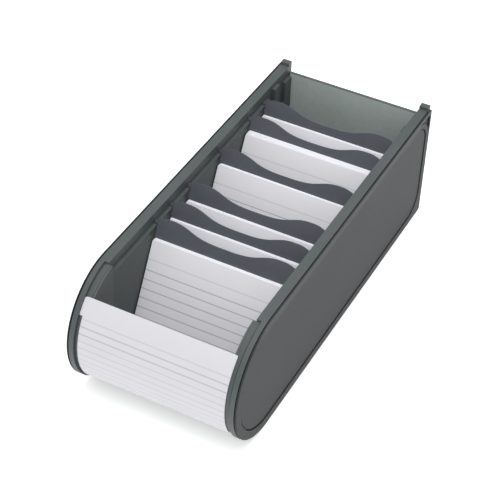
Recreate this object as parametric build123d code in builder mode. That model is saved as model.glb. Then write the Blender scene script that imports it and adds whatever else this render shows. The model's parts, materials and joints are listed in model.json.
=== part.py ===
from build123d import *
import os
from math import cos, degrees, radians, sin, tan

# Desk card tray with a half-round nose: two hollow sides, a floor, a curved front and a back wall.
# Six leaning dividers slide on ledges along the sides, and a pack of index cards stands before each.
# A ruled index card is wrapped round the nose and turns about its centre.
# Frame: origin under the middle of the tray, +Z up, +Y to the back, millimetres.

os.makedirs("parts", exist_ok=True)

# ---------------------------------------------------------------- driving dimensions
overall_width = 130.0
overall_length = 319.0
rim_height = 100.0
foot_proud = 1.0
card_width = 105.0
card_height = 74.0
lean = 27.0

# ---------------------------------------------------------------- the tray's outline
half_width = overall_width / 2
nose_radius = (rim_height - foot_proud) / 2
back_y = overall_length / 2
nose_y = nose_radius - overall_length / 2
nose_z = foot_proud + nose_radius
body_bottom = foot_proud
back_corner = 2.5

# ---------------------------------------------------------------- side frames and their covers
inner_x = card_width / 2 + 0.8
rim_inner_x = inner_x + 2.6
pocket_x = inner_x + 3.6
cover_seat_x = 61.0
frame_outer_x = 63.2
cover_inner_x = 64.0
cover_backing = 1.5
seam_inset = 1.8
pocket_inset = 8.0
ledge_z = 91.5
ledge_front_y = nose_y - 6.5
post_y = nose_y + 235.5
post_width = 8.5
post_top = 96.0
cap_length = 5.0
cap_rise = 2.4
ledge_slots = [(post_y - 8.0, 8.0, 82.0), (post_y + post_width, 10.0, 73.0)]
seat_radius = nose_radius - 1.8
seat_outer_x = 59.5
gutter_inner_x = 58.6
gutter_radius = nose_radius - 2.4
cheek_depth = 1.2
field_inset = 7.5
field_depth = 0.6
field_corner = 17.0
groove_inset = field_inset - 0.5
groove_width = 1.0
groove_depth = 1.4
crescent_depth = 1.3

# ---------------------------------------------------------------- floor, front and back
gap = 0.1
floor_top = 18.2
floor_thickness = 2.4
rib_height = 6.0
apron_outer_radius = nose_radius - 1.8
apron_thickness = 2.4
apron_top_angle = 45.0
lip_back_y = nose_y + 6.0
back_wall_thickness = 2.5
back_wall_y = back_y - 4.5
back_wall_top = 94.6
back_wall_bottom = 4.0
back_groove_depth = 1.4

# ---------------------------------------------------------------- fasteners and feet
screw_radius = 1.5
screw_head_radius = 2.6
screw_head_height = 1.8
screw_length = 13.0
boss_radius = 2.7
boss_length = 14.0
boss_z = 12.2
floor_boss_places = [-70.0, 25.0, 120.0]
apron_boss_y = nose_y + 2.5
peg_radius = 2.0
peg_post_radius = 4.0
foot_radius = 4.2
foot_x = 58.2
foot_places = [-96.0, 144.0]

# ---------------------------------------------------------------- dividers and cards
divider_thickness = 1.4
ear_height = 2.4
ear_x = rim_inner_x - 0.3
dip_rise = -1.4
slope_x = 22.0
slope_rise = 0.5
shoulder_rise = 5.1
shoulder_inner_x = 41.5
shoulder_outer_x = 44.5
stand_gap = 0.3
divider_half_width = inner_x - 0.4
divider_places = [nose_y + behind for behind in (53.0, 74.7, 99.9, 147.3, 194.3, 218.8)]
pack_depths = [3.0, 2.4, 2.4, 2.4, 6.0, 2.4]

front_card_left_x = -56.8
front_card_right_x = 55.9
front_card_ear_x = -59.3
front_card_thickness = 0.4
front_card_inner_radius = seat_radius + stand_gap
front_card_top_angle = 49.9
front_card_ear_length = 13.5


def side_outline(inset, corner):
    """Outline of a side in (y, z): half round at the nose, with one radius on both back corners."""
    radius = nose_radius - inset
    with BuildSketch() as outline:
        with Locations((nose_y, nose_z)):
            Circle(radius)
        with Locations(((nose_y + back_y - inset) / 2, nose_z)):
            Rectangle(back_y - inset - nose_y, 2 * radius)
        fillet(outline.vertices().group_by(Axis.X)[-1], radius=corner)
    return outline.sketch


def nose_band(inner, outer):
    """The part of a ring about the nose's centre that lies before the ledges' front end."""
    with BuildSketch() as band:
        with Locations((nose_y, nose_z)):
            Circle(outer)
            if inner:
                Circle(inner, mode=Mode.SUBTRACT)
        with Locations((ledge_front_y, nose_z)):
            Rectangle(2 * outer, 2 * outer, align=(Align.MIN, Align.CENTER), mode=Mode.SUBTRACT)
    return band.sketch


def finish(name, part):
    """Labels a finished piece and writes it."""
    part.label = name
    export_step(part, "parts/" + name + ".step")


# ---------------------------------------------------------------- where the sides' fittings stand
screw_places = [(y, boss_z) for y in [apron_boss_y] + floor_boss_places]
peg_places = [(y, z) for y in (nose_y, 20.0, 138.0) for z in (28.0, 75.0)]

# ---------------------------------------------------------------- right side frame
with BuildPart() as right_side_frame:
    with BuildSketch(Plane.YZ.offset(inner_x)):
        add(side_outline(0, back_corner))
    extrude(amount=frame_outer_x - inner_x)
    # the open channel above the ledge, where the dividers' ears run
    with BuildSketch(Plane.YZ.offset(inner_x)):
        with Locations((ledge_front_y, ledge_z)):
            Rectangle(back_y - ledge_front_y, nose_radius, align=Align.MIN)
    extrude(amount=rim_inner_x - inner_x, mode=Mode.SUBTRACT)
    # two slots down from the ledge's back end, with a post between them that stops the ears
    with BuildSketch(Plane.YZ.offset(inner_x)):
        for y, width, bottom in ledge_slots:
            with Locations((y, bottom)):
                Rectangle(width, ledge_z - bottom, align=Align.MIN)
    extrude(amount=rim_inner_x - inner_x, mode=Mode.SUBTRACT)
    with BuildSketch(Plane.YZ.offset(inner_x)):
        with Locations((post_y, ledge_z - 1.0)):
            Rectangle(post_width, post_top - ledge_z + 1.0, align=Align.MIN)
    extrude(amount=rim_inner_x - inner_x)
    # the raised cap at the rim's back end
    with BuildSketch(Plane.YZ.offset(rim_inner_x)):
        with Locations((back_y - cap_length, rim_height - back_corner)):
            Rectangle(cap_length, back_corner + cap_rise, align=Align.MIN)
    extrude(amount=frame_outer_x - rim_inner_x)
    # the seat that the front card lies on, and the gutter between the seat and the rim
    with BuildSketch(Plane.YZ.offset(inner_x)):
        add(nose_band(seat_radius, nose_radius + 1))
    extrude(amount=seat_outer_x - inner_x, mode=Mode.SUBTRACT)
    with BuildSketch(Plane.YZ.offset(gutter_inner_x)):
        add(nose_band(gutter_radius, nose_radius + 1))
    extrude(amount=seat_outer_x - gutter_inner_x, mode=Mode.SUBTRACT)
    # the shallow bed of the apron's cheek
    with BuildSketch(Plane.YZ.offset(inner_x)):
        add(nose_band(0, nose_radius + 1))
    extrude(amount=cheek_depth + gap, mode=Mode.SUBTRACT)
    # the hollow inside, and the step that the cover's spigot fits
    with BuildSketch(Plane.YZ.offset(pocket_x)):
        add(side_outline(pocket_inset, back_corner))
    extrude(amount=frame_outer_x - pocket_x, mode=Mode.SUBTRACT)
    with BuildSketch(Plane.YZ.offset(cover_seat_x)):
        add(side_outline(seam_inset, back_corner))
    extrude(amount=frame_outer_x - cover_seat_x, mode=Mode.SUBTRACT)
    # posts that grip the cover's pegs
    with BuildSketch(Plane.YZ.offset(pocket_x)):
        with Locations(*peg_places):
            Circle(peg_post_radius)
    extrude(amount=cover_seat_x - pocket_x - 0.2)
    with BuildSketch(Plane.YZ.offset(pocket_x)):
        with Locations(*peg_places):
            Circle(peg_radius + gap)
    extrude(amount=cover_seat_x - pocket_x, mode=Mode.SUBTRACT)
    # screw holes, the back wall's groove and the feet's beds
    with BuildSketch(Plane.YZ.offset(inner_x)):
        with Locations(*screw_places):
            Circle(screw_radius + gap)
    extrude(amount=pocket_x - inner_x, mode=Mode.SUBTRACT)
    with BuildSketch(Plane.YZ.offset(inner_x)):
        with Locations((back_wall_y - gap, back_wall_bottom)):
            Rectangle(back_wall_thickness + 2 * gap, rim_height, align=Align.MIN)
    extrude(amount=back_groove_depth + gap, mode=Mode.SUBTRACT)
    with BuildSketch(Plane.XY.offset(body_bottom)):
        with Locations(*[(foot_x, y) for y in foot_places]):
            Circle(foot_radius + gap)
    extrude(amount=1.2, mode=Mode.SUBTRACT)
finish("right_side_frame", right_side_frame.part)

# ---------------------------------------------------------------- right side cover
with BuildPart() as right_side_cover:
    with BuildSketch(Plane.YZ.offset(cover_inner_x)):
        add(side_outline(0, back_corner))
    extrude(amount=half_width - cover_inner_x)
    fillet(right_side_cover.faces().sort_by(Axis.X)[-1].edges(), radius=0.8)
    # the backing plate with its spigot ring, and the pegs
    with BuildSketch(Plane.YZ.offset(cover_inner_x - cover_backing)):
        add(side_outline(seam_inset + gap, back_corner))
    extrude(amount=cover_backing)
    with BuildSketch(Plane.YZ.offset(cover_seat_x + 0.5)):
        add(side_outline(seam_inset + gap, back_corner))
        add(side_outline(seam_inset + 2.0, back_corner), mode=Mode.SUBTRACT)
    extrude(amount=cover_inner_x - cover_seat_x - 0.5)
    with BuildSketch(Plane.YZ.offset(pocket_x + 1.0)):
        with Locations(*peg_places):
            Circle(peg_radius)
    extrude(amount=cover_inner_x - pocket_x - 1.0)
    # the flat field, set a little below its border, and the groove round its edge
    with BuildSketch(Plane.YZ.offset(half_width - field_depth)):
        add(side_outline(field_inset, field_corner))
    extrude(amount=field_depth, mode=Mode.SUBTRACT)
    with BuildSketch(Plane.YZ.offset(half_width - groove_depth)):
        add(side_outline(groove_inset, field_corner + 0.5))
        add(side_outline(groove_inset + groove_width, field_corner - 0.5), mode=Mode.SUBTRACT)
    extrude(amount=groove_depth, mode=Mode.SUBTRACT)
    # the crescent at the top back corner, between the corner and the field's border
    with BuildSketch(Plane.YZ.offset(half_width - crescent_depth)) as crescent:
        add(side_outline(3.2, 3.0))
        add(side_outline(3.2, field_corner + 4.0), mode=Mode.SUBTRACT)
        split(bisect_by=Plane.XZ.offset(-nose_z), keep=Keep.BOTTOM)
    extrude(amount=crescent_depth, mode=Mode.SUBTRACT)
finish("right_side_cover", right_side_cover.part)

# ---------------------------------------------------------------- the left side, a mirror image
with BuildPart() as left_side_frame:
    mirror(right_side_frame.part, about=Plane.YZ)
finish("left_side_frame", left_side_frame.part)

with BuildPart() as left_side_cover:
    mirror(right_side_cover.part, about=Plane.YZ)
finish("left_side_cover", left_side_cover.part)

# ---------------------------------------------------------------- floor pan
floor_front_y = nose_y - 28.7
floor_back_y = back_wall_y - gap
plate_half_width = inner_x - gap
with BuildPart() as floor_pan:
    with BuildSketch(Plane.XY.offset(floor_top - floor_thickness)):
        with Locations((0, floor_front_y)):
            Rectangle(2 * plate_half_width, floor_back_y - floor_front_y, align=(Align.CENTER, Align.MIN))
    extrude(amount=floor_thickness)
    # stiffening ribs underneath
    with BuildSketch(Plane.XY.offset(floor_top - floor_thickness)):
        for x in (-26.0, 0.0, 26.0):
            with Locations((x, floor_back_y)):
                Rectangle(2.0, floor_back_y + 92.0, align=(Align.CENTER, Align.MAX))
        for y in [-91.0] + floor_boss_places:
            with Locations((0, y)):
                Rectangle(2 * plate_half_width - 10.0, 2.0)
    extrude(amount=-rib_height)
    # screw bosses along both edges
    for side in (-1, 1):
        with BuildSketch(Plane.YZ.offset(side * plate_half_width)):
            with Locations(*[(y, boss_z) for y in floor_boss_places]):
                Circle(boss_radius)
            with Locations(*[(y, (boss_z + floor_top) / 2) for y in floor_boss_places]):
                Rectangle(2 * boss_radius, floor_top - boss_z)
        extrude(amount=-side * boss_length)
        with BuildSketch(Plane.YZ.offset(side * plate_half_width)):
            with Locations(*[(y, boss_z) for y in floor_boss_places]):
                Circle(screw_radius + gap / 2)
        extrude(amount=-side * (boss_length - 2.0), mode=Mode.SUBTRACT)
finish("floor_pan", floor_pan.part)

# ---------------------------------------------------------------- front apron, with its cheeks
apron_inner_radius = apron_outer_radius - apron_thickness
with BuildPart() as front_apron:
    with BuildSketch(Plane.YZ.offset(-plate_half_width)):
        with BuildLine():
            sweep = 90 + apron_top_angle
            outer = CenterArc((nose_y, nose_z), apron_outer_radius, 180 - apron_top_angle, sweep)
            bottom = Line(outer @ 1, (lip_back_y, nose_z - apron_outer_radius))
            edge = Line(bottom @ 1, (lip_back_y, nose_z - apron_inner_radius))
            Line(edge @ 1, (nose_y, nose_z - apron_inner_radius))
            inner = CenterArc((nose_y, nose_z), apron_inner_radius, 270, -sweep)
            Line(inner @ 1, outer @ 0)
        make_face()
    extrude(amount=2 * plate_half_width)
    # cheeks that lie in the side frames' beds
    for side in (-1, 1):
        with BuildSketch(Plane.YZ.offset(side * plate_half_width)):
            add(nose_band(0, apron_outer_radius))
        extrude(amount=side * (cheek_depth + gap))
    # a webbed screw boss in each bottom corner
    for side in (-1, 1):
        with BuildSketch(Plane.YZ.offset(side * plate_half_width)):
            with Locations((apron_boss_y, boss_z)):
                Circle(boss_radius)
            with Locations((apron_boss_y, (boss_z + nose_z - apron_outer_radius) / 2 + 0.5)):
                Rectangle(2.4, boss_z - nose_z + apron_outer_radius - 1.0)
        extrude(amount=-side * boss_length)
        with BuildSketch(Plane.YZ.offset(side * plate_half_width)):
            with Locations((apron_boss_y, boss_z)):
                Circle(screw_radius + gap / 2)
        extrude(amount=-side * (boss_length - 2.0), mode=Mode.SUBTRACT)
finish("front_apron", front_apron.part)

# ---------------------------------------------------------------- back wall
with BuildPart() as back_wall:
    with BuildSketch(Plane.XZ.offset(-back_wall_y)):
        with Locations((0, back_wall_bottom + gap)):
            Rectangle(
                2 * (inner_x + back_groove_depth),
                back_wall_top - back_wall_bottom - gap,
                align=(Align.CENTER, Align.MIN),
            )
    extrude(amount=-back_wall_thickness)
    fillet(back_wall.edges().filter_by(Axis.X).group_by(Axis.Z)[-1], radius=0.8)
finish("back_wall", back_wall.part)

# ---------------------------------------------------------------- screws and feet
for side, name in ((-1, "left_frame_screws"), (1, "right_frame_screws")):
    with BuildPart() as frame_screws:
        with BuildSketch(Plane.YZ.offset(side * pocket_x)):
            with Locations(*screw_places):
                Circle(screw_head_radius)
        extrude(amount=side * screw_head_height)
        with BuildSketch(Plane.YZ.offset(side * (pocket_x + screw_head_height - 0.8))):
            with Locations(*screw_places):
                Rectangle(3.4, 0.8)
                Rectangle(0.8, 3.4)
        extrude(amount=side * 0.8, mode=Mode.SUBTRACT)
        with BuildSketch(Plane.YZ.offset(side * pocket_x)):
            with Locations(*screw_places):
                Circle(screw_radius)
        extrude(amount=-side * screw_length)
    finish(name, frame_screws.part)

with BuildPart() as rubber_feet:
    with BuildSketch():
        with Locations(*[(side * foot_x, y) for side in (-1, 1) for y in foot_places]):
            Circle(foot_radius)
    extrude(amount=body_bottom + 1.1)
    fillet(rubber_feet.edges().group_by(Axis.Z)[0], radius=0.6)
finish("rubber_feet", rubber_feet.part)

# ---------------------------------------------------------------- dividers
# A leaf's rear face hangs lower than its front face by this much, because it leans.
leaf_drop = divider_thickness * sin(radians(lean))
stand_z = floor_top + stand_gap
ear_z = ledge_z + gap + leaf_drop
divider_foot = (stand_z + leaf_drop - ear_z) / cos(radians(lean))
for number, place in enumerate(divider_places, start=1):
    facing = (0, -cos(radians(lean)), sin(radians(lean)))
    front_face = Plane(origin=(0, place, ear_z), x_dir=(1, 0, 0), z_dir=facing)
    with BuildPart() as divider:
        with BuildSketch(front_face) as leaf:
            with BuildLine():
                dip = Spline(
                    (0, dip_rise),
                    (slope_x, slope_rise),
                    (shoulder_inner_x, shoulder_rise),
                    tangents=((1, 0), (1, 0)),
                )
                flat = Line(dip @ 1, (shoulder_outer_x, shoulder_rise))
                fall = Spline(flat @ 1, (ear_x, ear_height), tangents=((1, 0), (1, -0.35)))
                Polyline(
                    fall @ 1,
                    (ear_x, 0),
                    (divider_half_width, 0),
                    (divider_half_width, divider_foot),
                    (0, divider_foot),
                    (0, dip_rise),
                )
            make_face()
            mirror(about=Plane.YZ)
            fillet(leaf.vertices().group_by(Axis.Y)[0], radius=4.0)
        extrude(amount=-divider_thickness)
    finish("divider_" + str(number), divider.part)

# ---------------------------------------------------------------- card packs
# Every card of a pack stands on the floor, so a pack's top and bottom are level and its faces lean.
pack_rise = card_height * cos(radians(lean))
pack_run = card_height * sin(radians(lean))
for number, (place, depth) in enumerate(zip(divider_places, pack_depths), start=1):
    rear_foot = place - (ear_z - stand_z) * tan(radians(lean)) - stand_gap / cos(radians(lean))
    with BuildPart() as card_pack:
        with BuildSketch(Plane.YZ):
            Polygon(
                (rear_foot, stand_z),
                (rear_foot + pack_run, stand_z + pack_rise),
                (rear_foot + pack_run - depth, stand_z + pack_rise),
                (rear_foot - depth, stand_z),
                align=None,
            )
        extrude(amount=card_width / 2, both=True)
        fillet(card_pack.edges().filter_by(Axis.Y).group_by(Axis.Z)[-1], radius=3.0)
    finish("card_pack_" + str(number), card_pack.part)

# ---------------------------------------------------------------- the card wrapped round the nose
front_card_outer_radius = front_card_inner_radius + front_card_thickness
front_card_sweep = degrees(card_height / front_card_outer_radius)
ear_sweep = degrees(front_card_ear_length / front_card_outer_radius)


def card_arc(sweep):
    """Section of the wrapped card in (y, z), from its top edge down round the nose by an angle."""
    with BuildSketch() as section:
        with BuildLine():
            start = 180 - front_card_top_angle
            outside = CenterArc((nose_y, nose_z), front_card_outer_radius, start, sweep)
            inside = CenterArc((nose_y, nose_z), front_card_inner_radius, start, sweep)
            Line(outside @ 0, inside @ 0)
            Line(outside @ 1, inside @ 1)
        make_face()
    return section.sketch


with BuildPart() as front_card:
    with BuildSketch(Plane.YZ.offset(front_card_left_x)):
        add(card_arc(front_card_sweep))
    extrude(amount=front_card_right_x - front_card_left_x)
    with BuildSketch(Plane.YZ.offset(front_card_ear_x)):
        add(card_arc(ear_sweep))
    extrude(amount=front_card_left_x - front_card_ear_x + 1.0)
finish("front_card", front_card.part)
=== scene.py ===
"""Desk card tray: its mouldings, dividers, screws, feet and ruled cards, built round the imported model."""

import json
import logging
import math
import random
from collections.abc import Callable, Iterable
from dataclasses import dataclass, field
from enum import Enum
from typing import Any, Union

import bmesh
import bpy
from bmesh.types import BMEdge, BMesh, BMVert
from bpy.types import Material, Node, NodeSocket, Object
from mathutils import Matrix, Vector


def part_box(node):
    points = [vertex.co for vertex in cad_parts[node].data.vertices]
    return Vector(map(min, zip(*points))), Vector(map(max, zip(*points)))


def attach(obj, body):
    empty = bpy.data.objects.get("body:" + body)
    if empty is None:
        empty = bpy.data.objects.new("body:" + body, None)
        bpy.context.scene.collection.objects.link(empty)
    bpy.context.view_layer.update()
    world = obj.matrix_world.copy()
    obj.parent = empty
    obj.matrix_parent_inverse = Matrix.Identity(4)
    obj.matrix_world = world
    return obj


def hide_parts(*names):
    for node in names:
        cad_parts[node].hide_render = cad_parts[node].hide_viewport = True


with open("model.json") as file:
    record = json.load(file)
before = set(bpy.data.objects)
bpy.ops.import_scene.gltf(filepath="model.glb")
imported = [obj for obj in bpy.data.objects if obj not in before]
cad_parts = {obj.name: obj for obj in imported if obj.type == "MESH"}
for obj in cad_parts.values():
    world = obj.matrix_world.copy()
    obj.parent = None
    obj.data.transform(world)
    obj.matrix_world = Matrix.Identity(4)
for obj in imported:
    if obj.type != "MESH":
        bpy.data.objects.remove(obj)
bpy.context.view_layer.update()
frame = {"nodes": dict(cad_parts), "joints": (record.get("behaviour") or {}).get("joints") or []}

log = logging.getLogger("card_tray")

MM = 0.001
# vertices this close, in metres, are one
MERGE = 1e-6
# degrees between two faces past which their edge is crisp, on mouldings and on small or thin pieces
CREASE = 35.0
TIGHT_CREASE = 50.0
# what the lamps point at
LAMP_AIM = (0.0, 0.0, 0.05)
Colour = tuple[float, float, float]
Triple = tuple[float, float, float]


# ---------------------------------------------------------------- shader graphs


class Wire:
    """One output of a shader graph. Arithmetic on it adds Math nodes."""

    def __init__(self, graph: "Graph", socket: NodeSocket) -> None:
        """Holds a socket and the graph that it belongs to."""
        self.graph = graph
        self.socket = socket

    def _math(self, operation: str, *operands: "Operand") -> "Wire":
        """Adds one Math node over the operands, in order."""
        return self.graph.node("ShaderNodeMath", {"operation": operation}, dict(enumerate(operands)))

    def __add__(self, other: "Operand") -> "Wire":
        """This plus other."""
        return self._math("ADD", self, other)

    def __radd__(self, other: "Operand") -> "Wire":
        """Other plus this."""
        return self._math("ADD", other, self)

    def __sub__(self, other: "Operand") -> "Wire":
        """This minus other."""
        return self._math("SUBTRACT", self, other)

    def __rsub__(self, other: "Operand") -> "Wire":
        """Other minus this."""
        return self._math("SUBTRACT", other, self)

    def __mul__(self, other: "Operand") -> "Wire":
        """This times other."""
        return self._math("MULTIPLY", self, other)

    def __rmul__(self, other: "Operand") -> "Wire":
        """Other times this."""
        return self._math("MULTIPLY", other, self)

    def __abs__(self) -> "Wire":
        """The size of this, without its sign."""
        return self._math("ABSOLUTE", self)

    def larger(self, other: "Operand") -> "Wire":
        """The larger of this and other."""
        return self._math("MAXIMUM", self, other)

    def off_step(self, start: float, pitch: float) -> "Wire":
        """How far this is from the nearest of start, start + pitch, start + 2 * pitch and so on."""
        return abs(self._math("PINGPONG", self - start, pitch / 2))

    def rise(self, low: float, high: float) -> "Wire":
        """A smooth step of this, which falls instead where low is above high.

        Args:
            low: Where the step is 0.
            high: Where it is 1.

        Returns:
            The step, from 0 to 1.
        """
        ends = {"From Min": min(low, high), "From Max": max(low, high)}
        ends |= {"To Min": float(low > high), "To Max": float(low <= high)}
        settings = {"interpolation_type": "SMOOTHSTEP"}
        return self.graph.node("ShaderNodeMapRange", settings, {"Value": self} | ends)


Operand = Union[Wire, float]
Paint = Union[Wire, Colour]
Sockets = dict[Union[int, str], Any]


class Graph:
    """The node tree of one new material, which has one Principled shader."""

    # a Mix node's sockets when it mixes colours
    MIX_SHARE = 0
    MIX_LOW = 6
    MIX_HIGH = 7
    MIX_RESULT = 2

    def __init__(self, name: str) -> None:
        """Makes the material.

        Args:
            name: Its name.
        """
        self.material: Material = bpy.data.materials.new(name)
        self.material.use_nodes = True
        self.tree = self.material.node_tree
        self.shader: Node = self.tree.nodes["Principled BSDF"]

    def feed(self, node: Node, sockets: Sockets) -> None:
        """Sets a node's input sockets.

        Args:
            node: The node to set.
            sockets: A value or a Wire for each socket, by the socket's name or number.
        """
        for key, value in sockets.items():
            if isinstance(value, Wire):
                self.tree.links.new(value.socket, node.inputs[key])
            else:
                node.inputs[key].default_value = value

    def node(
        self, kind: str, settings: dict[str, Any], sockets: Sockets, output: Union[int, str] = 0,
    ) -> Wire:
        """Adds a node.

        Args:
            kind: The node's type.
            settings: Its properties, which are set before its sockets.
            sockets: A value or a Wire for each input socket.
            output: The name or number of the output that is wanted.

        Returns:
            That output.
        """
        made = self.tree.nodes.new(kind)
        for name, value in settings.items():
            setattr(made, name, value)
        self.feed(made, sockets)
        return Wire(self, made.outputs[output])

    def place(self, scale: Triple = (1, 1, 1)) -> Wire:
        """The point in the object's own space, scaled along each axis."""
        point = self.node("ShaderNodeTexCoord", {}, {}, "Object")
        return self.node("ShaderNodeMapping", {}, {"Vector": point, "Scale": scale})

    def noise(self, point: Wire, grain: float, detail: float = 2.0) -> Wire:
        """Noise from 0 to 1 at a point, whose patches are about grain metres wide."""
        sockets = {"Vector": point, "Scale": 1 / grain, "Detail": detail}
        return self.node("ShaderNodeTexNoise", {}, sockets)

    def mix(self, share: Operand, low: Paint, high: Paint) -> Wire:
        """A colour between low, where share is 0, and high, where it is 1."""
        ends = {self.MIX_SHARE: share, self.MIX_LOW: rgba(low), self.MIX_HIGH: rgba(high)}
        return self.node("ShaderNodeMix", {"data_type": "RGBA"}, ends, self.MIX_RESULT)

    def bump(self, height: Wire, depth: float, strength: float = 1.0) -> Wire:
        """The surface's normal, over a relief whose height of 1 stands depth metres proud."""
        relief = {"Height": height, "Distance": depth, "Strength": strength}
        return self.node("ShaderNodeBump", {}, relief)


def rgba(colour: Paint) -> Union[Wire, tuple[float, float, float, float]]:
    """A colour with its alpha, or the Wire that was given."""
    return colour if isinstance(colour, Wire) else (*colour, 1.0)


def shade(colour: Colour, factor: float) -> Colour:
    """A colour made lighter or darker by a factor."""
    return tuple(min(1.0, channel * factor) for channel in colour)


# ---------------------------------------------------------------- finishes


@dataclass(frozen=True)
class MouldedPlastic:
    """Matte plastic from a mould with a fine spark-eroded grain, and a smoother band near its top whose
    colour is painted in a tone of its own.

    Attributes:
        name: The material's name.
        colour: Its middle tone.
        roughness: Its middle roughness.
        grain: The width of the grain's pits.
        depth: How deep the grain is.
        relief: How much of that depth the light shows.
        mottle: How far its tone strays either way, as a share.
        cloud_size: The width of its broad patches.
        flow_size: The width of its flow marks.
        flow_draw: The scale of those marks, which are drawn out along the tray.
        top_band_from: The height above the desk where the top band starts.
        top_band_to: The height from which all of the band is at full strength.
        top_band: How strongly the band is smoothed and painted in its own tone.
        top_band_tone: The band's painted tone, as a factor of the colour; lighter is a painted highlight.
        cloud_matt: How much rougher the broad patches make it.
        pit_matt: How much rougher the pits make it.
        top_band_smoothing: How much smoother the top band is.
        gloss: The strength of its clear reflections.
    """

    name: str
    colour: Colour
    roughness: float = 0.5
    grain: float = 0.42 * MM
    depth: float = 0.035 * MM
    relief: float = 0.7
    mottle: float = 0.09
    cloud_size: float = 38 * MM
    flow_size: float = 5 * MM
    flow_draw: Triple = (1.0, 0.12, 1.0)
    top_band_from: float = 90 * MM
    top_band_to: float = 100 * MM
    top_band: float = 0.0
    top_band_tone: float = 1.7
    cloud_matt: float = 0.08
    pit_matt: float = 0.07
    top_band_smoothing: float = 0.12
    gloss: float = 0.4

    def make(self) -> Material:
        """Builds the material.

        Returns:
            The material.
        """
        graph = Graph(self.name)
        point = graph.place()
        cloud = graph.noise(point, self.cloud_size, 4.0)
        flow = graph.noise(graph.place(self.flow_draw), self.flow_size)
        pits = graph.noise(point, self.grain, 3.0)
        blotch = graph.noise(point, self.grain * 5)
        # each layer's share of the tone
        tone = cloud * 0.45 + flow * 0.25 + blotch * 0.15 + pits * 0.15
        dull, bright = shade(self.colour, 1 - self.mottle), shade(self.colour, 1 + self.mottle)
        base = graph.mix(tone.rise(0.3, 0.7), dull, bright)
        height = graph.node("ShaderNodeSeparateXYZ", {}, {"Vector": point}, "Z")
        # the top band is patchy, from 0.4 to 1.2 times its strength
        top_band_mask = height.rise(self.top_band_from, self.top_band_to) * (cloud * 0.8 + 0.4) * self.top_band
        matt = cloud * self.cloud_matt + pits * self.pit_matt - top_band_mask * self.top_band_smoothing
        graph.feed(graph.shader, {
            # the top band's colour is painted: a painted highlight where it is lighter, a painted darker
            # edge where it is darker
            "Base Color": graph.mix(top_band_mask, base, shade(self.colour, self.top_band_tone)),
            "Roughness": matt + (self.roughness - (self.cloud_matt + self.pit_matt) / 2),
            "Normal": graph.bump(pits * 0.75 + blotch * 0.25, self.depth, self.relief),
            "Specular IOR Level": self.gloss,
        })
        return graph.material


@dataclass(frozen=True)
class Ruling:
    """The printed lines of an index card, at distances down from its top edge.

    Attributes:
        heads: Where the lines at the head of the card lie.
        first: Where the first of the even lines lies.
        pitch: How far apart the even lines are.
        last: How far down they go.
        head_ink: The strength of the head lines' ink, from 0 to 1.
        line_ink: The strength of the even lines' ink.
    """

    heads: tuple[float, ...]
    first: float
    pitch: float
    last: float
    head_ink: float = 0.35
    line_ink: float = 0.8


@dataclass(frozen=True)
class CardStock:
    """White index card with a fibrous face and thin printed lines.

    Attributes:
        name: The material's name.
        ruling: Where its lines lie.
        colour: The paper.
        ink: The lines.
        line_width: The width of a line.
        soft: How far the ink bleeds to each side.
        margin: How far before the first even line and after the last one the lines are cut off.
        mottle: How far the paper's tone strays either way, as a share.
        cloud_size: The width of the paper's broad patches.
        wear_size: The width of the gaps worn in the ink.
        fibre: The width of the fibres.
        fibre_draw: The scale of the fibres, which lie across the card.
        depth: How far the fibres stand proud.
        relief: How much of that the light shows.
        roughness: Its least roughness.
        gloss: The strength of its clear reflections.
    """

    name: str
    ruling: Ruling
    colour: Colour = (0.90, 0.895, 0.945)
    ink: Colour = (0.43, 0.43, 0.47)
    line_width: float = 0.75 * MM
    soft: float = 0.22 * MM
    margin: float = 1.2 * MM
    mottle: float = 0.035
    cloud_size: float = 22 * MM
    wear_size: float = 1.3 * MM
    fibre: float = 0.5 * MM
    fibre_draw: Triple = (1.0, 0.4, 0.4)
    depth: float = 0.012 * MM
    relief: float = 0.6
    roughness: float = 0.6
    gloss: float = 0.3

    def make(self) -> Material:
        """Builds the material.

        Returns:
            The material.
        """
        graph = Graph(self.name)
        sheet = graph.node("ShaderNodeUVMap", {"uv_map": Sheet.LAYER}, {})
        across = graph.node("ShaderNodeSeparateXYZ", {}, {"Vector": sheet}, "X")
        down = graph.node("ShaderNodeSeparateXYZ", {}, {"Vector": sheet}, "Y")
        ruling = self.ruling
        lines = self._printed(down.off_step(ruling.first, ruling.pitch))
        lines = lines * down.rise(ruling.first - self.margin, ruling.first - self.margin / 2)
        lines = lines * down.rise(ruling.last + self.margin, ruling.last + self.margin / 2)
        lines = lines * ruling.line_ink
        for place in ruling.heads:
            lines = lines.larger(self._printed(abs(down - place)) * ruling.head_ink)
        lines = lines * across.rise(0.0, self.soft)
        point = graph.place()
        cloud = graph.noise(point, self.cloud_size, 3.0)
        fibres = graph.noise(graph.place(self.fibre_draw), self.fibre, 4.0)
        dull, bright = shade(self.colour, 1 - self.mottle), shade(self.colour, 1 + self.mottle)
        paper = graph.mix(cloud * 0.6 + fibres * 0.4, dull, bright)
        wear = graph.noise(point, self.wear_size)
        graph.feed(graph.shader, {
            "Base Color": graph.mix(lines * (wear * 0.35 + 0.82), paper, self.ink),
            "Roughness": fibres * 0.12 + self.roughness,
            "Normal": graph.bump(fibres, self.depth, self.relief),
            "Specular IOR Level": self.gloss,
        })
        return graph.material

    def _printed(self, distance: Wire) -> Wire:
        """1 on a printed line and 0 off it, from the distance to the line's middle."""
        return distance.rise(self.line_width / 2 + self.soft, self.line_width / 2 - self.soft)


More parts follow.
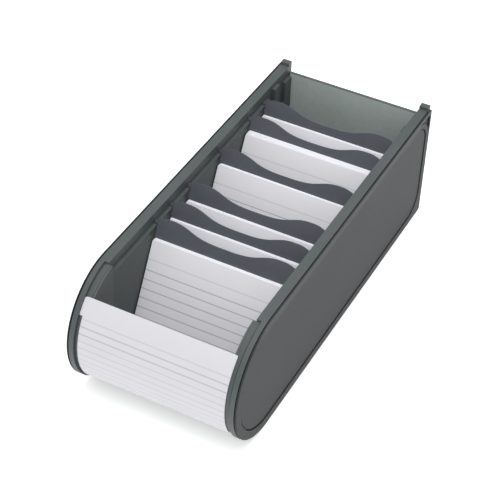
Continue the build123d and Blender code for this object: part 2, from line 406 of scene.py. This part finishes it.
@dataclass(frozen=True)
class PlatedSteel:
    """Bright zinc plate with faint drawn marks.

    Attributes:
        name: The material's name.
        colour: The plate.
        tint: Its duller patches.
        patch_size: The width of those patches.
        mark_size: The width of the drawn marks.
        mark_draw: The scale of the marks, which run along a screw.
        mark_depth: How deep they are.
    """

    name: str
    colour: Colour = (0.60, 0.61, 0.63)
    tint: Colour = (0.50, 0.49, 0.44)
    patch_size: float = 2.2 * MM
    mark_size: float = 0.15 * MM
    mark_draw: Triple = (0.2, 1.0, 1.0)
    mark_depth: float = 0.01 * MM

    def make(self) -> Material:
        """Builds the material.

        Returns:
            The material.
        """
        graph = Graph(self.name)
        patches = graph.noise(graph.place(), self.patch_size, 3.0)
        marks = graph.noise(graph.place(self.mark_draw), self.mark_size)
        graph.feed(graph.shader, {
            "Base Color": graph.mix(patches.rise(0.35, 0.75), self.colour, self.tint),
            "Metallic": 1.0,
            "Roughness": marks * 0.18 + patches * 0.1 + 0.2,
            "Normal": graph.bump(marks, self.mark_depth, 0.5),
        })
        return graph.material


@dataclass(frozen=True)
class FootRubber:
    """Black moulded rubber, with patches of dust.

    Attributes:
        name: The material's name.
        colour: The clean rubber.
        dust: The dust on it.
        grain: The width of its grain.
        grain_depth: How deep the grain is.
        dust_size: The width of the patches of dust.
    """

    name: str
    colour: Colour = (0.022, 0.022, 0.023)
    dust: Colour = (0.075, 0.073, 0.07)
    grain: float = 0.3 * MM
    grain_depth: float = 0.04 * MM
    dust_size: float = 2.5 * MM

    def make(self) -> Material:
        """Builds the material.

        Returns:
            The material.
        """
        graph = Graph(self.name)
        grain = graph.noise(graph.place(), self.grain, 3.0)
        dust = graph.noise(graph.place(), self.dust_size, 4.0)
        graph.feed(graph.shader, {
            "Base Color": graph.mix(dust.rise(0.45, 0.8) * 0.6, self.colour, self.dust),
            "Roughness": grain * 0.15 + 0.72,
            "Normal": graph.bump(grain, self.grain_depth, 0.7),
        })
        return graph.material


@dataclass(frozen=True)
class PaleBoard:
    """The pale matte board that the tray stands on.

    Attributes:
        name: The material's name.
        colour: The board.
        mottle: How far its tone strays either way, as a share.
        cloud_size: The width of its patches.
        glow: How much light it gives off itself.
    """

    name: str
    colour: Colour = (0.93, 0.93, 0.93)
    mottle: float = 0.005
    cloud_size: float = 0.3
    glow: float = 0.5

    def make(self) -> Material:
        """Builds the material.

        Returns:
            The material.
        """
        graph = Graph(self.name)
        cloud = graph.noise(graph.place(), self.cloud_size)
        dull, bright = shade(self.colour, 1 - self.mottle), shade(self.colour, 1 + self.mottle)
        graph.feed(graph.shader, {
            "Base Color": graph.mix(cloud, dull, bright),
            "Roughness": 0.9,
            "Specular IOR Level": 0.1,
            "Emission Color": rgba(self.colour),
            "Emission Strength": self.glow,
        })
        return graph.material


Finish = Union[MouldedPlastic, CardStock, PlatedSteel, FootRubber, PaleBoard]


# ---------------------------------------------------------------- pieces and their meshes


@dataclass(frozen=True)
class Fitting:
    """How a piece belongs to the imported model.

    Attributes:
        body: The CAD body that it rides on.
        slot: The record's material slot.
        node: The CAD node that it stands for.
    """

    body: str
    slot: str
    node: str


def make_piece(name: str, bm: BMesh, fitting: Fitting, material: Material) -> Object:
    """Turns a finished bmesh into a piece of the object.

    Args:
        name: The piece's name.
        bm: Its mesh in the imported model's frame. It is freed.
        fitting: The body, slot and CAD node that it goes with.
        material: Its finish.

    Returns:
        The new object.
    """
    piece = link_mesh(name, bm, material)
    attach(piece, fitting.body)
    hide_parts(fitting.node)
    log.info("%s: %d faces, stands for %s", name, len(piece.data.polygons), fitting.node)
    return piece


def link_mesh(name: str, bm: BMesh, material: Material) -> Object:
    """Writes a bmesh to a new object in the scene, with smooth faces.

    Args:
        name: The object's name.
        bm: Its mesh. It is freed.
        material: Its finish.

    Returns:
        The new object.
    """
    for face in bm.faces:
        face.smooth = True
    mesh = bpy.data.meshes.new(name)
    bm.to_mesh(mesh)
    bm.free()
    mesh.materials.append(material)
    made = bpy.data.objects.new(name, mesh)
    bpy.context.scene.collection.objects.link(made)
    return made


def merged_copy(node: str, flat: float = 1.0) -> BMesh:
    """A copy of a CAD node's mesh with its triangles merged into whole faces.

    Args:
        node: The CAD node.
        flat: The most that two triangles of one face may turn, in degrees.

    Returns:
        The copy, which the caller frees.
    """
    bm = bmesh.new()
    bm.from_mesh(frame["nodes"][node].data)
    bmesh.ops.remove_doubles(bm, verts=bm.verts[:], dist=MERGE)
    bmesh.ops.dissolve_limit(bm, angle_limit=math.radians(flat), verts=bm.verts[:], edges=bm.edges[:])
    return bm


def is_sharp(edge: BMEdge, angle: float = CREASE) -> bool:
    """Whether two faces meet at an edge at more than an angle in degrees."""
    return len(edge.link_faces) == 2 and edge.calc_face_angle() > math.radians(angle)


def weigh_edges(bm: BMesh, choose: Callable[[BMEdge], float]) -> None:
    """Gives each edge its share of the piece's edge rounding.

    Args:
        bm: The mesh.
        choose: Says an edge's share, from 0 to 1.
    """
    layer = bm.edges.layers.float.new("bevel_weight_edge")
    for edge in bm.edges:
        edge[layer] = choose(edge)


def round_edges(piece: Object, radius: float, segments: int = 3) -> None:
    """Rounds a piece's weighted edges and shades its faces flat up to them.

    Args:
        piece: The piece.
        radius: The radius of an edge with a share of 1.
        segments: How many faces make up the rounding.
    """
    bevel = piece.modifiers.new("rounded_edges", "BEVEL")
    bevel.width = radius
    bevel.segments = segments
    bevel.limit_method = "WEIGHT"
    bevel.use_clamp_overlap = True
    bevel.miter_outer = "MITER_ARC"
    normals = piece.modifiers.new("face_normals", "WEIGHTED_NORMAL")
    normals.keep_sharp = True


def mark_creases(bm: BMesh, angle: float = CREASE) -> None:
    """Marks the edges that stay crisp where they aren't rounded."""
    for edge in bm.edges:
        edge.smooth = not is_sharp(edge, angle)


def new_since(bm: BMesh, seen: set[BMVert]) -> list[BMVert]:
    """The vertices of a bmesh that aren't in a set."""
    return [vert for vert in bm.verts if vert not in seen]


# ---------------------------------------------------------------- plastic mouldings


@dataclass
class Moulding:
    """A plastic moulding: a CAD node's shape with the small radii that a mould leaves on every edge.

    Attributes:
        node: The CAD node.
        slot: The record's material slot.
        body: The CAD body.
        radius: The radius on its long edges.
        shortest: Edges shorter than this, as round small holes, stay crisp.
        segments: How many faces make up an edge's rounding.
    """

    node: str
    slot: str
    body: str = "tray"
    radius: float = 0.5 * MM
    shortest: float = 1.2 * MM
    segments: int = 3

    def build(self, material: Material) -> Object:
        """Builds the moulding.

        Args:
            material: Its plastic.

        Returns:
            The piece.
        """
        bm = merged_copy(self.node)
        weigh_edges(bm, self.share)
        mark_creases(bm)
        fitting = Fitting(self.body, self.slot, self.node)
        piece = make_piece(self.node + "_moulding", bm, fitting, material)
        round_edges(piece, self.radius, self.segments)
        return piece

    def share(self, edge: BMEdge) -> float:
        """An edge's share of the moulding's rounding."""
        return float(is_sharp(edge) and edge.calc_length() > self.shortest)


# ---------------------------------------------------------------- screws and feet


@dataclass
class ScrewSet:
    """The self-tapping screws of one side, each with a helical thread on its shank.

    Attributes:
        side: Which side, left or right.
        pitch: How far the thread climbs in a turn.
        shank: The shank's radius.
        crest: The radius at the thread's crest.
        sunk: How far the thread's root lies inside the shank.
        flank: Half the thread's width at its root, as a share of the pitch.
        lead: How far the thread starts from the tip.
        thread_length: How far the thread goes along the shank.
        steps_a_turn: How many faces a turn of the thread has.
        edge: The radius on the head's edges.
        flat: The most that two triangles of one face may turn, in degrees.
    """

    side: str
    pitch: float = 1.1 * MM
    shank: float = 1.5 * MM
    crest: float = 1.72 * MM
    sunk: float = 0.1 * MM
    flank: float = 0.32
    lead: float = 0.3 * MM
    thread_length: float = 10.5 * MM
    steps_a_turn: int = 16
    edge: float = 0.12 * MM
    flat: float = 0.2
    node: str = field(init=False)

    def __post_init__(self) -> None:
        """Names the CAD node."""
        self.node = self.side + "_frame_screws"

    def build(self, material: Material) -> Object:
        """Builds the four screws as one piece.

        Args:
            material: Their steel.

        Returns:
            The piece.
        """
        bm = merged_copy(self.node, self.flat)
        outward = 1.0 if self.side == "right" else -1.0
        tips = self._tips(bm, outward)
        weigh_edges(bm, lambda edge: float(is_sharp(edge, TIGHT_CREASE)))
        for tip in tips:
            self._add_thread(bm, tip, outward)
        mark_creases(bm, TIGHT_CREASE)
        fitting = Fitting("tray", "screw_steel", self.node)
        piece = make_piece(self.node + "_threaded", bm, fitting, material)
        round_edges(piece, self.edge, 2)
        return piece

    def _tips(self, bm: BMesh, outward: float) -> list[Vector]:
        """Finds the middle of each screw's tip, which is its innermost flat face.

        Args:
            bm: The screws' mesh.
            outward: The sign of x on their side.

        Returns:
            The middles.
        """
        near = 0.01 * MM
        inner = min(abs(vert.co.x) for vert in bm.verts)
        middles = [(face, face.calc_center_median().x * outward) for face in bm.faces]
        return [face.calc_center_bounds() for face, x in middles if abs(x - inner) < near]

    def _add_thread(self, bm: BMesh, tip: Vector, outward: float) -> None:
        """Adds a ridge of triangular section that winds up the shank from its tip.

        Args:
            bm: The screws' mesh.
            tip: The middle of the screw's tip.
            outward: The sign of x on its side.
        """
        half = self.pitch * self.flank
        root = self.shank - self.sunk
        start = tip.x + outward * (half + self.lead)
        corners = [(start - half, root), (start, self.crest), (start + half, root)]
        ring = [bm.verts.new((x, tip.y, tip.z + radius)) for x, radius in corners]
        section = bm.faces.new(ring)
        turns = self.thread_length / self.pitch
        climb = Vector((outward * self.pitch / self.steps_a_turn, 0, 0))
        bmesh.ops.spin(
            bm, geom=[section], cent=tip, axis=(outward, 0, 0), dvec=climb,
            angle=math.tau * turns, steps=round(turns * self.steps_a_turn), use_merge=False,
        )
        ridge = connected(section.verts[:])
        faces = {face for vert in ridge for face in vert.link_faces}
        bmesh.ops.recalc_face_normals(bm, faces=list(faces))


def connected(start: Iterable[BMVert]) -> set[BMVert]:
    """Follows edges from some vertices as far as they go.

    Args:
        start: The vertices to start from.

    Returns:
        Every vertex that edges join to them, and they themselves.
    """
    found = set(start)
    unvisited = list(found)
    while unvisited:
        vert = unvisited.pop()
        for edge in vert.link_edges:
            other = edge.other_vert(vert)
            if other not in found:
                found.add(other)
                unvisited.append(other)
    return found


@dataclass
class Feet:
    """Four round rubber pads, each with a moulded ring recess underneath.

    Attributes:
        radius: A pad's radius.
        ring_inset: How far the ring lies in from the pad's edge.
        ring_width: The ring's width.
        ring_draft: How far the ring's wall slopes.
        ring_depth: How deep the ring is.
        edge: The radius round the sole.
        sides: How many faces go round a pad.
    """

    radius: float = 4.2 * MM
    ring_inset: float = 1.1 * MM
    ring_width: float = 0.7 * MM
    ring_draft: float = 0.175 * MM
    ring_depth: float = 0.35 * MM
    edge: float = 0.45 * MM
    sides: int = 40

    def build(self, material: Material) -> Object:
        """Builds the feet as one piece.

        Args:
            material: Their rubber.

        Returns:
            The piece.
        """
        low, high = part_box("rubber_feet")
        bm = bmesh.new()
        for x in (low.x + self.radius, high.x - self.radius):
            for y in (low.y + self.radius, high.y - self.radius):
                self._add_pad(bm, Vector((x, y, (low.z + high.z) / 2)), high.z - low.z)
        mark_creases(bm, TIGHT_CREASE)
        fitting = Fitting("tray", "foot_rubber", "rubber_feet")
        return make_piece("rubber_feet_pads", bm, fitting, material)

    def _add_pad(self, bm: BMesh, centre: Vector, height: float) -> None:
        """Adds one pad, with its sole at the bottom.

        Args:
            bm: The feet's mesh.
            centre: The pad's middle.
            height: Its height.
        """
        made = bmesh.ops.create_cone(
            bm, cap_ends=True, segments=self.sides, radius1=self.radius, radius2=self.radius,
            depth=height, matrix=Matrix.Translation(centre),
        )
        faces = {face for vert in made["verts"] for face in vert.link_faces}
        sole = min(faces, key=lambda face: face.calc_center_median().z)
        rim = sole.edges[:]
        bmesh.ops.inset_region(bm, faces=[sole], thickness=self.ring_inset)
        ring = bmesh.ops.inset_region(bm, faces=[sole], thickness=self.ring_width)["faces"]
        bmesh.ops.inset_region(bm, faces=ring, thickness=self.ring_draft, depth=-self.ring_depth)
        bmesh.ops.bevel(
            bm, geom=rim, offset=self.edge, offset_type="OFFSET", segments=4, profile=0.5,
            affect="EDGES", material=-1,
        )


# ---------------------------------------------------------------- cards


class Sheet:
    """Makes flat cards, whose UV map is each point's place on the card, in metres."""

    LAYER = "sheet"
    # a place off the card, where nothing is printed
    UNPRINTED = (-1.0, -1.0)

    @staticmethod
    def flat(width: float, height: float, columns: int, rows: int) -> BMesh:
        """A flat card face in its own plane.

        Args:
            width: Its size along x, about 0.
            height: Its size along y, from 0 at its foot.
            columns: How many faces lie across it.
            rows: How many faces lie up it.

        Returns:
            The open sheet.
        """
        bm = bmesh.new()
        bmesh.ops.create_grid(bm, x_segments=columns, y_segments=rows, size=0.5)
        bmesh.ops.scale(bm, vec=(width, height, 1), verts=bm.verts[:])
        bmesh.ops.translate(bm, vec=(0, height / 2, 0), verts=bm.verts[:])
        return bm

    @staticmethod
    def round_corners(bm: BMesh, corners: list[BMVert], radius: float, segments: int = 5) -> None:
        """Rounds corners of a flat sheet.

        Args:
            bm: The sheet.
            corners: The vertices at the corners.
            radius: Their radius.
            segments: How many edges make up a corner.
        """
        bmesh.ops.bevel(
            bm, geom=corners, offset=radius, offset_type="OFFSET", segments=segments, profile=0.5,
            affect="VERTICES", material=-1,
        )

    @classmethod
    def thicken(cls, bm: BMesh, board: float, half_width: float, height: float) -> None:
        """Gives a flat sheet its thickness and its map.

        Args:
            bm: The sheet, whose printed face looks along +z afterwards.
            board: Its thickness, behind the printed face.
            half_width: Half its width.
            height: Its height.
        """
        made = bmesh.ops.extrude_face_region(bm, geom=bm.faces[:])
        backs = [item for item in made["geom"] if isinstance(item, BMVert)]
        bmesh.ops.translate(bm, vec=(0, 0, -board), verts=backs)
        bmesh.ops.recalc_face_normals(bm, faces=bm.faces[:])
        layer = bm.loops.layers.uv.new(cls.LAYER)
        for face in bm.faces:
            printed = face.normal.z > 0.5
            for loop in face.loops:
                place = (loop.vert.co.x + half_width, height - loop.vert.co.y)
                loop[layer].uv = place if printed else cls.UNPRINTED

    @staticmethod
    def bend(verts: Iterable[BMVert], shape: Callable[[Vector], Vector]) -> None:
        """Moves each vertex to where a shape says."""
        for vert in verts:
            vert.co = shape(vert.co)


@dataclass
class CardPack:
    """A pack of index cards that leans on its divider, each card a sheet of its own.

    Attributes:
        number: Which pack it is, from the nose.
        seed: Starts its random draws.
        lean: How far its cards lean back.
        spacing: The room that one card takes along the pack.
        board: The thickness of a card.
        taller: How much its cards overtop the CAD pack.
        corner: The radius of a card's corners.
        shuffle: The most that a card stands off the middle sideways.
        tilt: The most that a card turns in its own plane.
        shortfall: The most that a card is shorter than the pack, as a share.
        squeeze: How much tighter the pack stands at its foot than at its top, as a share.
        bow: The most that a card bulges towards the nose at its middle.
        columns: How many faces lie across a card.
        rows: How many faces lie up it.
    """

    number: int
    seed: int
    taller: float = 0.0
    lean: float = math.radians(27)
    spacing: float = 0.31 * MM
    board: float = 0.22 * MM
    corner: float = 1.6 * MM
    shuffle: float = 0.55 * MM
    tilt: float = math.radians(0.16)
    shortfall: float = 0.004
    squeeze: float = 0.1
    bow: float = 0.1 * MM
    columns: int = 10
    rows: int = 8
    name: str = field(init=False)

    def __post_init__(self) -> None:
        """Takes the pack's sizes from its CAD node."""
        self.name = f"card_pack_{self.number}"
        self.low, self.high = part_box(self.name)
        rise = self.high.z - self.low.z
        self.card_height = rise / math.cos(self.lean) + self.taller
        self.card_width = self.high.x - self.low.x
        self.depth = self.high.y - self.low.y - rise * math.tan(self.lean)
        self.draw = random.Random(self.seed)

    def build(self, material: Material) -> Object:
        """Builds the pack.

        Args:
            material: Its card stock.

        Returns:
            The piece.
        """
        card = self._card_mesh()
        bm = bmesh.new()
        count = round(self.depth * math.cos(self.lean) / self.spacing)
        for index in range(count):
            seen = set(bm.verts)
            bm.from_mesh(card)
            Sheet.bend(new_since(bm, seen), self._place((index + 0.5) / count))
        bpy.data.meshes.remove(card)
        mark_creases(bm, TIGHT_CREASE)
        log.info("%s: %d cards", self.name, count)
        fitting = Fitting(self.name, "card_stock", self.name)
        return make_piece(self.name + "_cards", bm, fitting, material)

    def _card_mesh(self) -> bpy.types.Mesh:
        """Makes one flat card, a little narrower than the pack so that the pack's sides look loose.

        Returns:
            The card, as a mesh to copy.
        """
        width = self.card_width - 2 * self.shuffle / 3
        bm = Sheet.flat(width, self.card_height, self.columns, self.rows)
        corners = [vert for vert in bm.verts if len(vert.link_faces) == 1]
        Sheet.round_corners(bm, corners, self.corner)
        Sheet.thicken(bm, self.board, self.card_width / 2, self.card_height)
        mesh = bpy.data.meshes.new("one_card")
        bm.to_mesh(mesh)
        bm.free()
        return mesh

    def _place(self, share: float) -> Callable[[Vector], Vector]:
        """Draws how one card stands in the pack.

        Args:
            share: The card's place from the pack's face, at 0, to its back, at 1.

        Returns:
            A function that takes a point of the flat card to its place.
        """
        sideways = self.draw.uniform(-self.shuffle, self.shuffle)
        turn = self.draw.uniform(-self.tilt, self.tilt)
        bow = self.bow * (self.draw.uniform(0.4, 1.0) - share * 0.4)
        shorter = 1 - self.draw.uniform(0.0, self.shortfall)
        lift = abs(turn) * self.card_width / 2
        reach = self.card_width / 2

        def shape(flat: Vector) -> Vector:
            """Takes a point of the flat card to its place in the pack.

            Args:
                flat: The point on the flat card.

            Returns:
                The point on the card as it stands.
            """
            up = flat.y * shorter
            across = flat.x * math.cos(turn) - up * math.sin(turn) + sideways
            up = min(up * math.cos(turn) + flat.x * math.sin(turn) + lift, self.card_height)
            across = max(-reach, min(reach, across))
            bulge = math.sin(math.pi * up / self.card_height)
            bulge *= math.cos(math.pi * flat.x / self.card_width)
            proud = flat.z + bow * bulge
            slack = 1 - self.squeeze * (1 - up / self.card_height)
            foot = self.low.y + self.depth * (0.5 + (share - 0.5) * slack)
            y = foot + up * math.sin(self.lean) - proud * math.cos(self.lean)
            z = self.low.z + up * math.cos(self.lean) + proud * math.sin(self.lean)
            return Vector((across, y, z))

        return shape


@dataclass
class FrontCard:
    """The ruled card that is wrapped round the nose, with a small ear at the left of its top edge.

    Attributes:
        board: Its thickness.
        ear: How far the ear stands out to the left.
        ear_height: How far the ear goes down from the top edge.
        ear_corner: The radius of the ear's top corner.
        corner: The radius of the other corners.
        columns: How many faces lie across the card.
        rows: How many faces lie up it.
        ripple: How uneven the card is.
        wave_across: Sets how wide its waves are, in radians a metre.
        wave_along: Sets how long they are, in radians a metre.
        wave_start: Where they start, in radians.
        node: The CAD node.
    """

    board: float = 0.25 * MM
    ear: float = 2.5 * MM
    ear_height: float = 13.5 * MM
    ear_corner: float = 2.4 * MM
    corner: float = 1.0 * MM
    columns: int = 30
    rows: int = 48
    ripple: float = 0.1 * MM
    wave_across: float = 95.0
    wave_along: float = 60.0
    wave_start: float = 0.7
    node: str = "front_card"

    def __post_init__(self) -> None:
        """Takes the curve from the CAD node and its joint."""
        turn = next(joint for joint in frame["joints"] if joint["name"] == "front_card_turn")
        self.centre = Vector(turn["pos_m"])
        low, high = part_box(self.node)
        self.radius = self.centre.y - low.y
        self.top = math.asin((high.z - self.centre.z) / self.radius)
        bottom = math.asin((low.z - self.centre.z) / self.radius)
        self.height = self.radius * (self.top - bottom)
        self.half_width = (high.x - low.x) / 2
        self.middle = (high.x + low.x) / 2

    def build(self, material: Material) -> Object:
        """Builds the card.

        Args:
            material: Its card stock.

        Returns:
            The piece.
        """
        bm = Sheet.flat(2 * self.half_width, self.height, self.columns, self.rows)
        self._cut_ear(bm)
        corners = [vert for vert in bm.verts if vert.is_boundary and self._turns(vert)]
        tip = max(corners, key=lambda vert: vert.co.y - vert.co.x)
        corners.remove(tip)
        Sheet.round_corners(bm, [tip], self.ear_corner)
        Sheet.round_corners(bm, corners, self.corner)
        Sheet.thicken(bm, self.board, self.half_width, self.height)
        Sheet.bend(bm.verts, self._wrap)
        mark_creases(bm, TIGHT_CREASE)
        fitting = Fitting(self.node, "card_stock", self.node)
        return make_piece("front_card_sheet", bm, fitting, material)

    def _cut_ear(self, bm: BMesh) -> None:
        """Cuts the strip below the ear away.

        Args:
            bm: The flat card, as wide as it is with its ear.
        """
        side = self.ear - self.half_width
        shoulder = self.height - self.ear_height
        for point, normal in (((side, 0, 0), (1, 0, 0)), ((0, shoulder, 0), (0, 1, 0))):
            geom = bm.verts[:] + bm.edges[:] + bm.faces[:]
            bmesh.ops.bisect_plane(bm, geom=geom, plane_co=point, plane_no=normal)
        middles = [(face, face.calc_center_median()) for face in bm.faces]
        waste = [face for face, middle in middles if middle.x < side and middle.y < shoulder]
        bmesh.ops.delete(bm, geom=waste, context="FACES")

    def _turns(self, vert: BMVert) -> bool:
        """Whether the sheet's outline turns by more than 60 degrees at a vertex.

        Args:
            vert: A vertex on the outline.

        Returns:
            Whether it is a corner.
        """
        edges = [edge for edge in vert.link_edges if edge.is_boundary]
        ways = [(edge.other_vert(vert).co - vert.co).normalized() for edge in edges]
        return len(ways) == 2 and abs(ways[0].dot(ways[1])) < 0.5

    def _wrap(self, flat: Vector) -> Vector:
        """Takes a point of the flat card to its place round the nose.

        Args:
            flat: The point on the flat card.

        Returns:
            The point on the wrapped card.
        """
        angle = self.top - (self.height - flat.y) / self.radius
        wave = math.sin(flat.x * self.wave_across)
        # the waves only go inwards, so that the card stays inside its own outline
        wave = wave * math.sin(flat.y * self.wave_along + self.wave_start) - 1
        out = self.radius + flat.z + self.ripple / 2 * wave
        y = self.centre.y - out * math.cos(angle)
        return Vector((flat.x + self.middle, y, self.centre.z + out * math.sin(angle)))


# ---------------------------------------------------------------- studio


@dataclass(frozen=True)
class Viewpoint:
    """Where the camera stands, about a point near the tray's middle.

    Attributes:
        target: The point that it looks at.
        distance: How far away it is, in metres.
        azimuth: How far it stands round to the right of the nose, in degrees.
        elevation: How far up it stands, in degrees.
        roll: How far it is turned about its own axis, in degrees.
        lens: Its focal length, in millimetres.
    """

    target: Triple = (-0.0050, -0.0058, 0.05)
    distance: float = 1.1326
    azimuth: float = 25.90
    elevation: float = 40.68
    roll: float = 2.61
    lens: float = 111.5

    def place_camera(self) -> Object:
        """Makes the camera and gives it to the scene.

        Returns:
            The camera.
        """
        camera = bpy.data.cameras.new("camera")
        camera.lens = self.lens
        camera.clip_start = 10 * MM
        stand = bpy.data.objects.new("camera", camera)
        around, above = math.radians(self.azimuth), math.radians(self.elevation)
        level = math.cos(above)
        back = Vector((math.sin(around) * level, -math.cos(around) * level, math.sin(above)))
        place = Matrix.Translation(Vector(self.target) + back * self.distance)
        roll = Matrix.Rotation(math.radians(self.roll), 3, "Z")
        turn = (-back).to_track_quat("-Z", "Y").to_matrix() @ roll
        stand.matrix_world = place @ turn.to_4x4()
        bpy.context.scene.collection.objects.link(stand)
        bpy.context.scene.camera = stand
        return stand


class Softbox(Enum):
    """The studio's lamps: place, size in metres and power in watts."""

    KEY = ((0.20, -0.65, 1.35), 0.9, 9.0)
    TOP = ((0.15, 0.25, 1.5), 1.1, 7.0)
    SIDE = ((1.3, -0.2, 0.75), 0.9, 1.0)

    def place_lamp(self) -> Object:
        """Makes the lamp, aimed at the tray.

        Returns:
            The lamp.
        """
        place, size, power = self.value
        light = bpy.data.lights.new(self.name.lower(), "AREA")
        light.size = size
        light.energy = power
        lamp = bpy.data.objects.new(light.name, light)
        turn = (Vector(LAMP_AIM) - Vector(place)).to_track_quat("-Z", "Y")
        lamp.matrix_world = Matrix.Translation(place) @ turn.to_matrix().to_4x4()
        bpy.context.scene.collection.objects.link(lamp)
        return lamp


@dataclass
class Studio:
    """The plain pale floor, the soft light and the camera.

    Attributes:
        viewpoint: Where the camera stands.
        floor_size: The floor's width and length.
        sky: The strength of the even light from all round.
    """

    viewpoint: Viewpoint = Viewpoint()
    floor_size: float = 12.0
    sky: float = 0.57

    def build(self) -> None:
        """Builds the studio."""
        bm = bmesh.new()
        bmesh.ops.create_grid(bm, x_segments=8, y_segments=8, size=self.floor_size / 2)
        floor = link_mesh("floor", bm, PaleBoard("pale_board").make())
        for softbox in Softbox:
            softbox.place_lamp()
        world = bpy.data.worlds.new("studio")
        world.use_nodes = True
        sky = world.node_tree.nodes["Background"].inputs
        sky["Color"].default_value = (1, 1, 1, 1)
        sky["Strength"].default_value = self.sky
        bpy.context.scene.world = world
        bpy.context.scene.view_settings.view_transform = "Standard"
        self.viewpoint.place_camera()
        log.info("studio: floor, %d lamps and camera", len(Softbox))


# ---------------------------------------------------------------- the whole tray


@dataclass
class Plastics:
    """The tray's plastics."""

    # the side frames' top band is smoother, and painted lighter there as a painted highlight on the rims
    side: MouldedPlastic = MouldedPlastic("side_plastic", (0.072, 0.085, 0.083), top_band=0.25)
    # the covers' top band is smoother, and painted lighter there as a painted highlight along their top
    cover: MouldedPlastic = MouldedPlastic(
        "cover_plastic", (0.036, 0.038, 0.040), top_band=0.8, gloss=0.12,
    )
    tray: MouldedPlastic = MouldedPlastic("tray_plastic", (0.085, 0.098, 0.096), roughness=0.45)
    # the wall's top edge is painted darker, from just below the edge up
    back: MouldedPlastic = MouldedPlastic(
        "back_plastic", (0.50, 0.565, 0.545), roughness=0.4, depth=0.02 * MM,
        top_band_from=93.7 * MM, top_band_to=94.2 * MM, top_band=1.4, top_band_tone=0.2,
    )
    divider: MouldedPlastic = MouldedPlastic("divider_plastic", (0.086, 0.092, 0.110), roughness=0.52)


@dataclass
class Tray:
    """The fixed tray: sides, covers, floor, apron, back wall, screws and feet.

    Attributes:
        plastics: What its mouldings are made of.
        cover_radius: The radius on the covers' edges.
        wall_radius: The radius on the back wall's edges.
    """

    plastics: Plastics = field(default_factory=Plastics)
    cover_radius: float = 0.25 * MM
    wall_radius: float = 0.4 * MM

    def build(self) -> list[Object]:
        """Builds the tray.

        Returns:
            Its pieces.
        """
        side, cover = self.plastics.side.make(), self.plastics.cover.make()
        floor, back = self.plastics.tray.make(), self.plastics.back.make()
        steel = PlatedSteel("screw_steel").make()
        pieces = []
        for hand in ("left", "right"):
            pieces.append(Moulding(hand + "_side_frame", "side_plastic").build(side))
            plate = Moulding(hand + "_side_cover", "cover_plastic", radius=self.cover_radius)
            pieces.append(plate.build(cover))
            pieces.append(ScrewSet(hand).build(steel))
        for node in ("floor_pan", "front_apron"):
            pieces.append(Moulding(node, "tray_plastic").build(floor))
        pieces.append(Moulding("back_wall", "back_plastic", radius=self.wall_radius).build(back))
        pieces.append(Feet().build(FootRubber("foot_rubber").make()))
        return pieces


@dataclass
class Contents:
    """What the tray holds: six dividers, six packs of cards and the card round the nose.

    Attributes:
        plastics: What the dividers are made of.
        leaf_radius: The radius on a divider's edges.
        overtops: How much each pack overtops its CAD pack, from the nose.
        pack_ruling: The packs' lines.
        front_ruling: The front card's lines.
        front_painted_shade: The front card's paper tone, as a factor of the other cards': painted shade, as
            it is the same stock but gets more light.
        front_line_width: The width of the front card's lines.
    """

    plastics: Plastics = field(default_factory=Plastics)
    leaf_radius: float = 0.45 * MM
    overtops: tuple[float, ...] = (-1.2 * MM, 1.3 * MM, 0.3 * MM, 1.7 * MM, 2.0 * MM, 1.5 * MM)
    pack_ruling: Ruling = Ruling(
        heads=(14.2 * MM,), first=22.4 * MM, pitch=6.95 * MM, last=64.2 * MM,
    )
    front_ruling: Ruling = Ruling(
        heads=(20.9 * MM, 26.3 * MM), first=15.5 * MM, pitch=5.4 * MM, last=69.5 * MM,
        head_ink=1.0, line_ink=0.5,
    )
    # painted shade: the front card's paper is painted darker than the other cards' to offset the stronger
    # light on it
    front_painted_shade: float = 0.68
    front_line_width: float = 0.9 * MM

    def build(self) -> list[Object]:
        """Builds the contents.

        Returns:
            Their pieces.
        """
        leaf = self.plastics.divider.make()
        stock = CardStock("card_stock", self.pack_ruling).make()
        pieces = []
        for number, taller in enumerate(self.overtops, start=1):
            name = f"divider_{number}"
            pieces.append(Moulding(name, "divider_plastic", name, self.leaf_radius).build(leaf))
            pieces.append(CardPack(number, number, taller).build(stock))
        # the front card is the same stock as the packs, with its paper painted darker as painted shade
        front = CardStock(
            "front_card_stock_painted_shade", self.front_ruling, shade(CardStock.colour, self.front_painted_shade),
            line_width=self.front_line_width,
        )
        pieces.append(FrontCard().build(front.make()))
        return pieces


def main() -> None:
    """Builds the whole scene."""
    logging.basicConfig(level=logging.INFO, format="%(name)s: %(message)s")
    Studio().build()
    pieces = Tray().build() + Contents().build()
    log.info("%d pieces", len(pieces))


if __name__ == "__main__":
    main()
